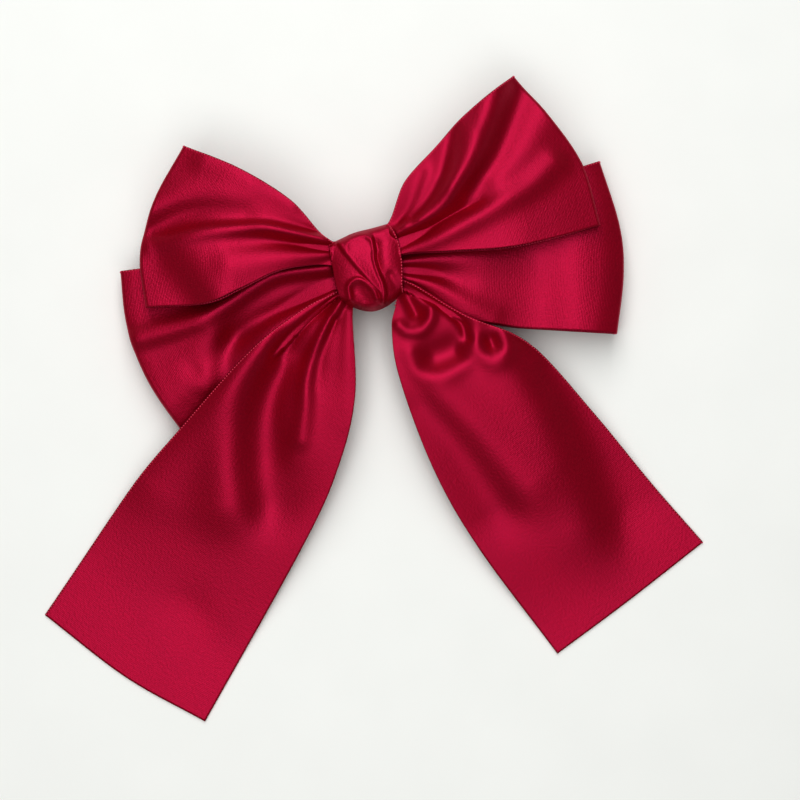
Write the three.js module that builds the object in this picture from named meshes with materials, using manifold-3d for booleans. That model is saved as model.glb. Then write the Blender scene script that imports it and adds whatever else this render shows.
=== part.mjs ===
// A satin hair bow on a spring barrette, lying face up on its closed clip.
// Two pairs of ribbon loops and two long tails are gathered under a knotted wrap of narrower
// ribbon, which also goes round the top plate of the barrette and so holds the bow to the clip.
// Millimetres. +X runs along the clip, +Y towards the top of the bow, +Z out of its face.
// The origin is under the middle of the knot, on the flat face of the lever that the bow lies on.

import * as THREE from "three";
import { mergeVertices } from "three/addons/utils/BufferGeometryUtils.js";
import Module from "manifold-3d";

const wasm = await Module();
wasm.setup();

// ---- Driving dimensions ----

// Ribbon of the loops and tails
const RIBBON_WIDTH = 63;
const RIBBON_GAUGE = 0.5;
const GATHER_HALF = 6.2; // half the width that a ribbon is gathered to under the knot
const LAYER_STEP = 1.5; // from ribbon to ribbon in the gathered stack
const LAYER_CLEARANCE = 1.1; // between ribbons that lie over each other outside the knot

// Loops: heading in degrees from +X, reach from the knot to the fold line
const FRONT_LOOPS = {
  left: { heading: 158, reach: 67.4 },
  right: { heading: 22, reach: 73.5 },
  gatherY: 2.8,
};
const BACK_LOOPS = {
  left: { heading: 191.8, reach: 76 },
  right: { heading: -4.5, reach: 80.5 },
  gatherY: 0,
};
const FOLD_SPREAD = 0.9; // the fold line's span as a share of the ribbon's width
const FOLD_BULGE = 5; // how far the fold line bows outwards
const FOLD_RADIUS = 3.8; // of the turn from the under layer to the upper one
const LOOP_CROWN = 5; // how far the upper layer of a front loop swells
const LOOP_FLARE = 0.55; // exponent of the widening from the knot to the fold

// Tails: heading, where the centre line starts and ends to the left of it, and its full length
const LEFT_TAIL = { heading: 228.6, start: 14.6, reach: 156, from: -2.5, to: -0.2, half: 4.7 };
const RIGHT_TAIL = { heading: -63.9, start: 15.2, reach: 140.2, from: 5.9, to: 7, half: 4.9 };
const TAIL_GATHER_Y = 1.4; // upper edge of the tail ribbon where it is gathered under the knot
const TAIL_GATHER_HALF = 0.9 * GATHER_HALF;
const TAIL_FLARE = 3; // exponent of the widening from the knot to the full width
const TAIL_DROP = 45; // the run in which a tail comes down to the surface past the back loops

// Knotted wrap of narrower ribbon
const WRAP_GAUGE = 1; // the narrow ribbon, doubled
const WRAP_MARGIN = 2.4; // from the gathered ribbons' edges to the inside of the wrap
const KNOT_HALF = 12; // half its length along the clip
// The knot's outline, in shares of its half length and of its reach up (+) and down (-).
const KNOT_OUTLINE = [
  [-0.89, 0.81], [-0.82, -0.68], [-0.48, -0.86], [0.02, -1.07], [0.43, -0.99], [0.73, -0.71],
  [0.98, -0.02], [1, 0.67], [0.78, 1.06], [-0.21, 1.02], [-0.69, 0.9],
];
const KNOT_RISE = 3.2; // how far the knot stands over the wrap
const WRAP_CORNER = 1.5; // cut across the corners of the gathered stack

// Binding thread round the gathered stack
const THREAD_RADIUS = 0.35;
const THREAD_TURNS = 3;
const THREAD_PITCH = 1.3;

// Barrette
const BAR_LENGTH = 80;
const BAR_WIDTH = 9.5;
const BAR_GAUGE = 0.8;
const BAR_RISE = 5.4; // the arch of the top plate over its length
const PLATE_TOP = 12.8; // height of the arch's crown
const SEW_HOLE_RADIUS = 1;
const LEVER_WIDTH = 6.4;
const LEVER_HEIGHT = 2.4;
const LEVER_GAUGE = 0.7;
const EAR_GAUGE = 0.8;
const PIN_RADIUS = 0.8;
const PIN_HEAD_RADIUS = 1.4;
const PIN_HEAD = 0.5;
const PIN_HEIGHT = 3.2; // of the hinge line over the lever's flat face
const PIN_INSET = 4; // of the hinge line from the plate's end
const PLATE_EAR_RADIUS = 2.5;
const LEVER_EAR_RADIUS = 2.2;
const LEVER_EAR_LENGTH = 2.8; // past the round of the ear
const STRIP_WIDTH = 5;
const STRIP_GAUGE = 0.4;
const STRIP_SAG = 0.9; // how far the strip bows towards the lever
const KEEPER_INSET = 12; // of the strip's keepers from the plate's ends
const KEEPER_LENGTH = 2;
const SEW_HOLE_INSET = 7; // of the sewing holes from the plate's ends
const PRONG_GAUGE = 0.5;
const PRONG_LENGTH = 8;
const PRONG_PAD = 2; // how far a prong's finger pad stands out sideways
const PRONG_ROOT = 2; // length of the root that reaches up beside the saddle
const SADDLE_LENGTH = 5;
const RIVET_RADIUS = 0.5;
const RIVET_HEAD_RADIUS = 1.1;
const RIVET_HEAD = 0.4;

// Clearances
const SEAT = 0.3; // between pieces that rest on each other
const PIN_CLEARANCE = 0.15; // all round the hinge pin and the rivet
const SIDE_CLEARANCE = 0.3; // between pieces that turn past each other

// Fineness of curved surfaces
const ACROSS = 6; // strips across a ribbon
const LAYER_STEPS = 7; // stations along one layer of a loop
const ROUND_SEGMENTS = 20;

// ---- Colours ----

const satin = new THREE.MeshStandardMaterial({ color: 0xa80c2b, roughness: 0.4 });
const thread = new THREE.MeshStandardMaterial({ color: 0x7d0a1f, roughness: 0.8 });
const glue = new THREE.MeshStandardMaterial({ color: 0xe9e2cf, roughness: 0.5 });
const nickel = new THREE.MeshStandardMaterial({ color: 0xc9cacd, roughness: 0.25, metalness: 1 });

// ---- Small helpers ----

const rad = THREE.MathUtils.degToRad;
const { lerp, smoothstep } = THREE.MathUtils;
const steps = (count) => Array.from({ length: count + 1 }, (_, i) => i / count);
const direction = (degrees) => new THREE.Vector2(Math.cos(rad(degrees)), Math.sin(rad(degrees)));
const at = (plan, z) => new THREE.Vector3(plan.x, plan.y, z);

// A closed three.js geometry as a solid that can be joined and cut.
function solidOf(geometry) {
  const bare = geometry.index ? geometry.toNonIndexed() : geometry.clone();
  bare.deleteAttribute("normal");
  bare.deleteAttribute("uv");
  const merged = mergeVertices(bare, 1e-4);
  return new wasm.Manifold(
    new wasm.Mesh({
      numProp: 3,
      vertProperties: merged.attributes.position.array,
      triVerts: new Uint32Array(merged.index.array),
    }),
  );
}

function geometryOf(solid) {
  const { numProp, numVert, vertProperties, triVerts } = solid.getMesh();
  const position = new Float32Array(numVert * 3);
  for (let i = 0; i < numVert; i++) {
    position.set(vertProperties.subarray(i * numProp, i * numProp + 3), i * 3);
  }
  return new THREE.BufferGeometry()
    .setAttribute("position", new THREE.BufferAttribute(position, 3))
    .setIndex(new THREE.BufferAttribute(triVerts, 1));
}

const joined = (...parts) => parts.reduce((a, b) => a.add(b));

function namedMesh(name, geometry, material) {
  geometry.computeVertexNormals();
  const mesh = new THREE.Mesh(geometry, material);
  mesh.name = name;
  return mesh;
}

const flatShape = (points) => new THREE.Shape(points.map(([x, y]) => new THREE.Vector2(x, y)));

function extruded(shape, depth) {
  return new THREE.ExtrudeGeometry(shape, { depth, bevelEnabled: false, curveSegments: 8 });
}

// A shape drawn in plan, standing from one height to another.
function standing(shape, from, to) {
  return solidOf(extruded(shape, to - from).translate(0, 0, from));
}

// A shape drawn in the X-Z plane, from one Y to another.
function acrossY(shape, from, to) {
  return solidOf(extruded(shape, to - from).rotateX(Math.PI / 2).translate(0, to, 0));
}

// A shape drawn in the Y-Z plane, from one X to another.
function alongX(shape, from, to) {
  const turn = new THREE.Matrix4().makeBasis(
    new THREE.Vector3(0, 1, 0),
    new THREE.Vector3(0, 0, 1),
    new THREE.Vector3(1, 0, 0),
  );
  return solidOf(extruded(shape, to - from).applyMatrix4(turn).translate(from, 0, 0));
}

function box(x0, x1, y0, y1, z0, z1) {
  const made = new THREE.BoxGeometry(x1 - x0, y1 - y0, z1 - z0);
  return solidOf(made.translate((x0 + x1) / 2, (y0 + y1) / 2, (z0 + z1) / 2));
}

// A round rod along Y.
function rodY(radius, x, z, from, to) {
  const made = new THREE.CylinderGeometry(radius, radius, to - from, ROUND_SEGMENTS);
  return solidOf(made.translate(x, (from + to) / 2, z));
}

// A round rod along Z.
function rodZ(radius, x, y, from, to) {
  const made = new THREE.CylinderGeometry(radius, radius, to - from, ROUND_SEGMENTS);
  return solidOf(made.rotateX(Math.PI / 2).translate(x, y, (from + to) / 2));
}

// ---- Ribbon sheets ----

// A thin closed sheet through rows of points, each row running across the ribbon.
function sheet(rows, gauge) {
  const across = rows[0].length;
  const side = (sign) =>
    rows.flatMap((row, i) =>
      row.map((point, j) => {
        const along = new THREE.Vector3().subVectors(
          rows[Math.min(i + 1, rows.length - 1)][j],
          rows[Math.max(i - 1, 0)][j],
        );
        const over = new THREE.Vector3().subVectors(
          row[Math.min(j + 1, across - 1)],
          row[Math.max(j - 1, 0)],
        );
        const normal = along.cross(over).normalize();
        return point.clone().addScaledVector(normal, (sign * gauge) / 2);
      }),
    );
  const points = [...side(1), ...side(-1)];
  const under = rows.length * across;
  const index = [];
  const quad = (a, b, c, d) => index.push(a, b, c, a, c, d);
  for (let i = 0; i + 1 < rows.length; i++) {
    for (let j = 0; j + 1 < across; j++) {
      const a = i * across + j;
      quad(a, a + across, a + across + 1, a + 1);
      quad(under + a, under + a + 1, under + a + across + 1, under + a + across);
    }
    const low = i * across;
    const high = low + across - 1;
    quad(low, under + low, under + low + across, low + across);
    quad(high, high + across, under + high + across, under + high);
  }
  const last = (rows.length - 1) * across;
  for (let j = 0; j + 1 < across; j++) {
    quad(j, j + 1, under + j + 1, under + j);
    quad(last + j, under + last + j, under + last + j + 1, last + j + 1);
  }
  const geometry = new THREE.BufferGeometry().setFromPoints(points).setIndex(index);
  return solidOf(geometry).volume() < 0
    ? geometry.setIndex(index.toReversed())
    : geometry;
}

// ---- The barrette's arch ----

const archRadius = (BAR_LENGTH ** 2 / 4 + BAR_RISE ** 2) / (2 * BAR_RISE);
const archHeight = (x, crown) => crown - archRadius + Math.sqrt(archRadius ** 2 - x ** 2);
const plateUnder = (x) => archHeight(x, PLATE_TOP - BAR_GAUGE);

// ---- Heights of the gathered stack ----

const THREAD_ROOM = 2 * (THREAD_RADIUS + SEAT);
const stackLevel = (layer) => PLATE_TOP + THREAD_ROOM + RIBBON_GAUGE / 2 + SEAT / 2 + layer * LAYER_STEP;
const BACK_UNDER = 0;
const BACK_UPPER = 1;
const TAIL = 2;
const FRONT_UNDER = 3;
const FRONT_UPPER = 4;
const WRAP_INSIDE = stackLevel(FRONT_UPPER) + RIBBON_GAUGE / 2 + THREAD_ROOM + SEAT / 2;
const FLOOR_LEVEL = RIBBON_GAUGE / 2 + 0.1; // a ribbon that lies on the surface
const STACK_EDGE = KNOT_HALF + SEAT; // where a ribbon leaves the wrap
const WRAP_TOP_Y = FRONT_LOOPS.gatherY + GATHER_HALF + WRAP_MARGIN;
const WRAP_BOTTOM_Y = TAIL_GATHER_Y - 2 * TAIL_GATHER_HALF - WRAP_MARGIN;

const backReach = Math.max(BACK_LOOPS.left.reach, BACK_LOOPS.right.reach) + FOLD_BULGE;
const share = (distance, reach) =>
  THREE.MathUtils.clamp((distance - STACK_EDGE) / (reach - STACK_EDGE), 0, 1);

// Height of the upper layer of the back loops at a distance from the knot.
function backUpperHeight(distance) {
  const f = share(distance, backReach);
  const fold = FLOOR_LEVEL + 2 * FOLD_RADIUS;
  return lerp(stackLevel(BACK_UPPER), fold, f) + 0.4 * LOOP_CROWN * Math.sin(Math.PI * f);
}

// The under layer follows the barrette's arch, then comes down to the surface.
function backUnderHeight(distance) {
  const barEnd = BAR_LENGTH / 2;
  const arch = archHeight(Math.min(distance, barEnd), stackLevel(BACK_UNDER));
  return lerp(arch, FLOOR_LEVEL, Math.max(0, (distance - barEnd) / (backReach - barEnd)));
}

// The front loops lie on the back ones, with room for the tails between them.
function frontUnderHeight(distance) {
  const apart = (FRONT_UNDER - BACK_UPPER) * LAYER_STEP;
  const lift = lerp(apart, 2 * LAYER_CLEARANCE, smoothstep(distance, STACK_EDGE, backReach / 2));
  return backUpperHeight(distance) + lift;
}

function frontUpperHeight(distance, reach) {
  const f = share(distance, reach);
  const fold = frontUnderHeight(reach) + 2 * FOLD_RADIUS;
  return lerp(stackLevel(FRONT_UPPER), fold, f) + LOOP_CROWN * Math.sin(Math.PI * f);
}

// The tails lie over the back loops, then come down to the surface.
function tailHeight(distance) {
  const drop = smoothstep(distance, backReach + SEAT, backReach + TAIL_DROP);
  const start = stackLevel(TAIL) - stackLevel(BACK_UPPER);
  const lift = lerp(start, LAYER_CLEARANCE, smoothstep(distance, STACK_EDGE, backReach / 2));
  return lerp(backUpperHeight(distance) + lift, FLOOR_LEVEL, drop);
}

// ---- Loops ----

// Both layers of one loop and the turn between them, as rows from the knot outwards and back.
function loopRows(loop, gatherY, underHeight, upperHeight) {
  const heading = direction(loop.heading);
  const sideways = new THREE.Vector2(-heading.y, heading.x).multiplyScalar(Math.sign(heading.x));
  const upright = new THREE.Vector2(0, 1);
  const start = new THREE.Vector2(STACK_EDGE * Math.sign(heading.x), gatherY);
  const foldHalf = (RIBBON_WIDTH * FOLD_SPREAD) / 2;
  const span = steps(ACROSS).map((s) => 2 * s - 1);

  const plan = (f, t) => {
    const end = heading.clone().multiplyScalar(loop.reach + FOLD_BULGE * (1 - t * t) - FOLD_RADIUS);
    const over = upright.clone().lerp(sideways, Math.min(1, 2 * f)).normalize();
    const half = lerp(GATHER_HALF, foldHalf, f ** LOOP_FLARE);
    return start.clone().lerp(end, f).addScaledVector(over, half * t);
  };
  const layer = (height) =>
    steps(LAYER_STEPS).map((s) => {
      const f = s ** 1.4; // closer together near the knot
      return span.map((t) => at(plan(f, t), height(plan(f, t).length())));
    });
  const turn = [-54, -18, 18, 54].map((degrees) =>
    span.map((t) => {
      const foldLine = plan(1, t);
      const low = underHeight(foldLine.length());
      const high = upperHeight(foldLine.length());
      const z = (low + high) / 2 + ((high - low) / 2) * Math.sin(rad(degrees));
      return at(foldLine.addScaledVector(heading, FOLD_RADIUS * Math.cos(rad(degrees))), z);
    }),
  );
  return { under: layer(underHeight), turn, upper: layer(upperHeight).toReversed() };
}

// A ribbon that makes a loop on each side, its two ends meeting underneath at the middle.
function loopPair(loops, underLevel, upperLevel, underHeight, upperHeight) {
  const rowsOf = (loop) =>
    loopRows(loop, loops.gatherY, underHeight, (d) => upperHeight(d, loop.reach));
  const left = rowsOf(loops.left);
  const right = rowsOf(loops.right);
  const middleRow = (x, level) =>
    steps(ACROSS).map((s) =>
      new THREE.Vector3(x, loops.gatherY + GATHER_HALF * (2 * s - 1), stackLevel(level)),
    );
  return sheet(
    [
      middleRow(-SEAT, underLevel),
      ...left.under,
      ...left.turn,
      ...left.upper,
      middleRow(0, upperLevel),
      ...right.upper.toReversed(),
      ...right.turn.toReversed(),
      ...right.under.toReversed(),
      middleRow(SEAT, underLevel),
    ],
    RIBBON_GAUGE,
  );
}

// ---- Tails ----

// A tail past the knot, as rows out to the cut end.
function tailRows(tail) {
  const heading = direction(tail.heading);
  const sideways = new THREE.Vector2(-heading.y, heading.x);
  return steps(14).map((f) => {
    const distance = lerp(tail.start, tail.reach, f);
    const half = lerp(tail.half, RIBBON_WIDTH / 2, 1 - (1 - f) ** TAIL_FLARE);
    const middle = lerp(tail.from, tail.to, f);
    return steps(ACROSS).map((s) => {
      const plan = heading.clone().multiplyScalar(distance);
      plan.addScaledVector(sideways, middle + half * (2 * s - 1));
      return at(plan, tailHeight(distance));
    });
  });
}

// One ribbon from the left tail's cut end, gathered under the knot, to the right tail's.
function tailRibbon() {
  const lower = TAIL_GATHER_Y - 2 * TAIL_GATHER_HALF;
  const gathered = [
    [[-0.75 * KNOT_HALF, TAIL_GATHER_Y - 0.7 * TAIL_GATHER_HALF], [-0.58 * KNOT_HALF, lower]],
    [[0, TAIL_GATHER_Y], [0, lower]],
    [[0.8 * KNOT_HALF, TAIL_GATHER_Y - 0.5 * TAIL_GATHER_HALF], [0.58 * KNOT_HALF, lower]],
  ].map(([outer, inner]) => {
    const from = new THREE.Vector2(...inner);
    return steps(ACROSS).map((s) => at(from.clone().lerp(new THREE.Vector2(...outer), s), stackLevel(TAIL)));
  });
  const left = tailRows(LEFT_TAIL).map((row) => row.toReversed());
  return sheet([...left.toReversed(), ...gathered, ...tailRows(RIGHT_TAIL)], RIBBON_GAUGE);
}

// ---- Knotted wrap and thread ----

// The wrap's path round the gathered stack and the plate, as Y-Z points grown by a margin.
function wrapPath(margin) {
  const plateHalf = Math.max(BAR_WIDTH / 2 + SEAT + WRAP_GAUGE, GATHER_HALF);
  const under = plateUnder(STACK_EDGE) - SEAT;
  const shoulder = stackLevel(TAIL) - LAYER_STEP / 2;
  return flatShape([
    [WRAP_TOP_Y + margin, WRAP_INSIDE + margin - WRAP_CORNER],
    [WRAP_TOP_Y + margin - WRAP_CORNER, WRAP_INSIDE + margin],
    [WRAP_BOTTOM_Y - margin + WRAP_CORNER, WRAP_INSIDE + margin],
    [WRAP_BOTTOM_Y - margin, WRAP_INSIDE + margin - WRAP_CORNER],
    [WRAP_BOTTOM_Y - margin, shoulder],
    [-plateHalf - margin / 2, under - margin],
    [plateHalf + margin / 2, under - margin],
    [WRAP_TOP_Y + margin, shoulder],
  ]);
}

function ellipsoid(radii, turn, centre) {
  const ball = new THREE.SphereGeometry(1, 24, 14);
  return solidOf(ball.scale(...radii).rotateZ(rad(turn)).translate(...centre));
}

function knotWrap() {
  const reach = RIBBON_WIDTH / 2; // past the knot on both sides, before it is trimmed
  const outside = alongX(wrapPath(WRAP_GAUGE), -reach, reach);
  const inside = alongX(wrapPath(0), -2 * reach, 2 * reach);
  const corners = KNOT_OUTLINE.map(([x, y]) => [
    x * KNOT_HALF,
    y > 0 ? y * (WRAP_TOP_Y + WRAP_GAUGE) : -y * (WRAP_BOTTOM_Y - WRAP_GAUGE),
  ]);
  const outline = standing(flatShape(corners), 0, 2 * WRAP_INSIDE);
  const top = WRAP_INSIDE + WRAP_GAUGE / 2;
  const fold = ellipsoid([13, 5.2, KNOT_RISE + WRAP_GAUGE / 2], -56, [0.6, -1, top]);
  const tuck = ellipsoid([7, 4.6, 0.75 * KNOT_RISE + WRAP_GAUGE / 2], -35, [-3.5, -7.5, top - 0.5]);
  return joined(outside, fold, tuck).intersect(outline).subtract(inside);
}

// Turns of thread round the stack, inside the wrap.
function gatherThread() {
  const half = THREAD_RADIUS + SEAT;
  const top = WRAP_INSIDE - half;
  const bottom = PLATE_TOP + half;
  const shoulder = stackLevel(TAIL) - LAYER_STEP / 2;
  const ring = [
    [WRAP_TOP_Y - half, top - WRAP_CORNER], [WRAP_TOP_Y - half - WRAP_CORNER, top],
    [WRAP_BOTTOM_Y + half + WRAP_CORNER, top], [WRAP_BOTTOM_Y + half, top - WRAP_CORNER],
    [WRAP_BOTTOM_Y + half, shoulder + half],
    [-GATHER_HALF - 2 * half, bottom + half / 2], [-GATHER_HALF, bottom],
    [GATHER_HALF, bottom], [GATHER_HALF + 2 * half, bottom + half / 2],
    [WRAP_TOP_Y - half, shoulder + half],
  ];
  const count = THREAD_TURNS * ring.length;
  const points = Array.from({ length: count }, (_, i) => {
    const [y, z] = ring[i % ring.length];
    return new THREE.Vector3((i / ring.length - THREAD_TURNS / 2) * THREAD_PITCH, y, z);
  });
  const path = new THREE.CatmullRomCurve3(points, false, "catmullrom", 0.2);
  const circle = new THREE.Shape().absarc(0, 0, THREAD_RADIUS, 0, 2 * Math.PI);
  return new THREE.ExtrudeGeometry(circle, {
    steps: 2 * count,
    curveSegments: 3,
    extrudePath: path,
    bevelEnabled: false,
  });
}

// ---- Barrette ----

const hingeX = -BAR_LENGTH / 2 + PIN_INSET;
const latchX = BAR_LENGTH / 2 - PRONG_LENGTH + 1;
const leverEnd = BAR_LENGTH / 2 - 2;
const leverHalf = LEVER_WIDTH / 2;
const channelHalf = leverHalf - LEVER_GAUGE;
const stripHalf = STRIP_WIDTH / 2;

// A strip drawn in the X-Z plane between two heights that vary with x.
function bentStrip(from, to, lower, upper) {
  const xs = steps(16).map((s) => lerp(from, to, s));
  return flatShape([
    ...xs.map((x) => [x, lower(x)]),
    ...xs.toReversed().map((x) => [x, upper(x)]),
  ]);
}

// The plan outline of a bar with round ends.
function roundBar(from, to, half) {
  const shape = new THREE.Shape();
  shape.moveTo(from + half, -half).lineTo(to - half, -half);
  shape.absarc(to - half, 0, half, -Math.PI / 2, Math.PI / 2);
  shape.lineTo(from + half, half);
  shape.absarc(from + half, 0, half, Math.PI / 2, 1.5 * Math.PI);
  return shape;
}

// An ear of the plate or the lever, a tab with a round end about the hinge line.
function ear(radius, length, bottom, top, inner, outer) {
  const shape = new THREE.Shape().absarc(hingeX, PIN_HEIGHT, radius, 0, 2 * Math.PI);
  const one = ([from, to]) =>
    joined(
      acrossY(shape, from, to),
      box(hingeX - radius, hingeX + radius + length, from, to, bottom, top),
    );
  return joined(one([inner, outer]), one([-outer, -inner]));
}

const earInner = leverHalf + SIDE_CLEARANCE;
const earOuter = earInner + EAR_GAUGE;
const pinHole = (reach) =>
  rodY(PIN_RADIUS + PIN_CLEARANCE, hingeX, PIN_HEIGHT, -reach, reach);

// Height of the strip's upper face: its ends bear on the plate, its middle bows to the lever.
const stripEnd = BAR_LENGTH / 2 - KEEPER_INSET + 2 * KEEPER_LENGTH;
const stripUpper = (x) => plateUnder(stripEnd) - SEAT - STRIP_SAG * (1 - (x / stripEnd) ** 2);

// A bridge under the plate that keeps an end of the strip.
function keeper(x) {
  const [x0, x1] = [x - KEEPER_LENGTH / 2, x + KEEPER_LENGTH / 2];
  const inner = stripHalf + SEAT;
  const outer = inner + EAR_GAUGE;
  const bridge = stripUpper(Math.min(Math.abs(x0), Math.abs(x1))) - STRIP_GAUGE - SEAT;
  const bottom = bridge - STRIP_GAUGE;
  const top = plateUnder(x) + BAR_GAUGE / 2;
  return joined(
    box(x0, x1, inner, outer, bottom, top),
    box(x0, x1, -outer, -inner, bottom, top),
    box(x0, x1, -outer, outer, bottom, bridge),
  );
}

// The rivet's line stands square on the arch.
const rivetX = latchX + SADDLE_LENGTH / 2 + 0.4;
const rivetTilt = Math.asin(rivetX / archRadius);
const onRivetLine = (geometry) =>
  geometry
    .rotateX(Math.PI / 2)
    .rotateY(rivetTilt)
    .translate(rivetX, 0, plateUnder(rivetX));
const rivetHole = () => {
  const radius = RIVET_RADIUS + PIN_CLEARANCE;
  return solidOf(onRivetLine(new THREE.CylinderGeometry(radius, radius, 4, ROUND_SEGMENTS)));
};

function basePlate() {
  const half = BAR_LENGTH / 2;
  const arch = acrossY(
    bentStrip(-half, half, plateUnder, (x) => archHeight(x, PLATE_TOP)),
    -BAR_WIDTH / 2,
    BAR_WIDTH / 2,
  );
  const outline = standing(roundBar(-half, half, BAR_WIDTH / 2), 0, 2 * PLATE_TOP);
  const keeperX = half - KEEPER_INSET;
  const earTop = plateUnder(hingeX) + BAR_GAUGE / 2;
  const ears = ear(PLATE_EAR_RADIUS, 0, PIN_HEIGHT, earTop, earInner, earOuter);
  const whole = joined(arch.intersect(outline), ears, keeper(keeperX), keeper(-keeperX));
  const sewHole = (x) => rodZ(SEW_HOLE_RADIUS, x, 0, 0, 2 * PLATE_TOP);
  return whole
    .subtract(sewHole(half - SEW_HOLE_INSET - SADDLE_LENGTH))
    .subtract(sewHole(SEW_HOLE_INSET + SADDLE_LENGTH - half))
    .subtract(rivetHole())
    .subtract(pinHole(BAR_WIDTH));
}

function springStrip() {
  const side = bentStrip(-stripEnd, stripEnd, (x) => stripUpper(x) - STRIP_GAUGE, stripUpper);
  const outline = standing(roundBar(-stripEnd, stripEnd, stripHalf), 0, 2 * PLATE_TOP);
  return acrossY(side, -stripHalf, stripHalf).intersect(outline);
}

function lever() {
  const outline = standing(roundBar(hingeX - PIN_INSET, leverEnd, leverHalf), 0, LEVER_HEIGHT);
  const start = hingeX + PIN_HEAD_RADIUS;
  const channel = box(start, leverEnd, -leverHalf, leverHalf, 0, LEVER_HEIGHT)
    .intersect(outline)
    .subtract(
      box(start - 1, 2 * leverEnd, -channelHalf, channelHalf, LEVER_GAUGE, 2 * LEVER_HEIGHT),
    );
  const ears = ear(
    LEVER_EAR_RADIUS,
    LEVER_EAR_LENGTH,
    LEVER_GAUGE,
    LEVER_HEIGHT,
    channelHalf,
    leverHalf,
  );
  return joined(channel, ears).subtract(pinHole(BAR_WIDTH));
}

function hingePin() {
  const head = earOuter + PIN_CLEARANCE;
  const tip = head + PIN_HEAD;
  const profile = [
    [0, -tip], [0.6 * PIN_HEAD_RADIUS, -tip], [PIN_HEAD_RADIUS, -tip + 0.2],
    [PIN_HEAD_RADIUS, -head], [PIN_RADIUS, -head], [PIN_RADIUS, head],
    [PIN_HEAD_RADIUS, head], [PIN_HEAD_RADIUS, tip - 0.2], [0.6 * PIN_HEAD_RADIUS, tip], [0, tip],
  ].map(([r, y]) => new THREE.Vector2(r, y));
  return new THREE.LatheGeometry(profile, ROUND_SEGMENTS).translate(hingeX, 0, PIN_HEIGHT);
}

// The latch's saddle, which the rivet holds under the end of the plate.
const prongOuter = channelHalf - SIDE_CLEARANCE;
const prongInner = prongOuter - PRONG_GAUGE;
function latchSaddle() {
  const half = prongInner - SEAT;
  const upper = (x) => plateUnder(x) - SEAT;
  const side = bentStrip(latchX, latchX + SADDLE_LENGTH, (x) => upper(x) - PRONG_GAUGE, upper);
  return acrossY(side, -half, half).subtract(rivetHole());
}

function latchRivet() {
  const top = BAR_GAUGE + PIN_CLEARANCE;
  const bottom = -SEAT - PRONG_GAUGE - PIN_CLEARANCE;
  const profile = [
    [0, bottom - RIVET_HEAD], [0.8 * RIVET_HEAD_RADIUS, bottom - RIVET_HEAD],
    [RIVET_HEAD_RADIUS, bottom], [RIVET_RADIUS, bottom], [RIVET_RADIUS, top],
    [RIVET_HEAD_RADIUS, top], [0.6 * RIVET_HEAD_RADIUS, top + RIVET_HEAD], [0, top + RIVET_HEAD],
  ].map(([r, y]) => new THREE.Vector2(r, y));
  return onRivetLine(new THREE.LatheGeometry(profile, ROUND_SEGMENTS));
}

// One spring prong of the latch, inside the lever's channel, with a finger pad past its end.
function latchProng(side) {
  const [inner, outer] = [prongInner, prongOuter];
  const end = latchX + PRONG_LENGTH;
  const plan = flatShape([
    [latchX, inner], [end, inner], [end, outer + PRONG_PAD], [end - PRONG_GAUGE, outer + PRONG_PAD],
    [end - PRONG_GAUGE, outer], [latchX, outer],
  ]);
  const bottom = LEVER_GAUGE + SIDE_CLEARANCE;
  const rootEnd = latchX + PRONG_ROOT;
  const leaf = standing(plan, bottom, plateUnder(end) - SEAT);
  const root = box(latchX, rootEnd, inner, outer, bottom, plateUnder(rootEnd) - SEAT);
  const made = joined(leaf, root);
  return side > 0 ? made : made.mirror([0, 1, 0]);
}

// A dab of glue between the plate and the gathered ribbons, beside the thread.
function glueDab(side) {
  const length = 5;
  const middle = side * (THREAD_TURNS * THREAD_PITCH + length / 2);
  const bottom = PLATE_TOP + SEAT;
  const outside = (Math.abs(middle) + length / 2) / STACK_EDGE;
  const ribbon = lerp(stackLevel(BACK_UNDER), backUnderHeight(STACK_EDGE), outside);
  const top = ribbon - RIBBON_GAUGE / 2 - SEAT;
  const pad = new THREE.CylinderGeometry(length / 2 - 0.3, length / 2, top - bottom, ROUND_SEGMENTS);
  return pad.scale(1, 1, 1.4).rotateX(Math.PI / 2).translate(middle, 0, (top + bottom) / 2);
}

// ---- The bow ----

const bow = new THREE.Group();
bow.add(
  namedMesh(
    "back_loop_ribbon",
    loopPair(BACK_LOOPS, BACK_UNDER, BACK_UPPER, backUnderHeight, backUpperHeight),
    satin,
  ),
  namedMesh(
    "front_loop_ribbon",
    loopPair(FRONT_LOOPS, FRONT_UNDER, FRONT_UPPER, frontUnderHeight, frontUpperHeight),
    satin,
  ),
  namedMesh("tail_ribbon", tailRibbon(), satin),
  namedMesh("knot_wrap", geometryOf(knotWrap()), satin),
  namedMesh("gather_thread", gatherThread(), thread),
  namedMesh("glue_dab_left", glueDab(-1), glue),
  namedMesh("glue_dab_right", glueDab(1), glue),
  namedMesh("base_plate", geometryOf(basePlate()), nickel),
  namedMesh("spring_strip", geometryOf(springStrip()), nickel),
  namedMesh("hinge_pin", hingePin(), nickel),
  namedMesh("lever", geometryOf(lever()), nickel),
  namedMesh("latch_saddle", geometryOf(latchSaddle()), nickel),
  namedMesh("latch_rivet", latchRivet(), nickel),
  namedMesh("latch_prong_front", geometryOf(latchProng(-1)), nickel),
  namedMesh("latch_prong_rear", geometryOf(latchProng(1)), nickel),
);

export default bow;
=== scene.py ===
"""A red satin hair bow on a sprung steel clip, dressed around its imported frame.

Lengths inside the builders are millimetres in the bow's own frame: +X along the clip, +Z away
from the hair. They become metres when a mesh is made. Cloth is laid from the clip upwards, and
each layer rests on the ones before it.
"""

import logging
import math
from dataclasses import dataclass
from enum import Enum

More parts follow.
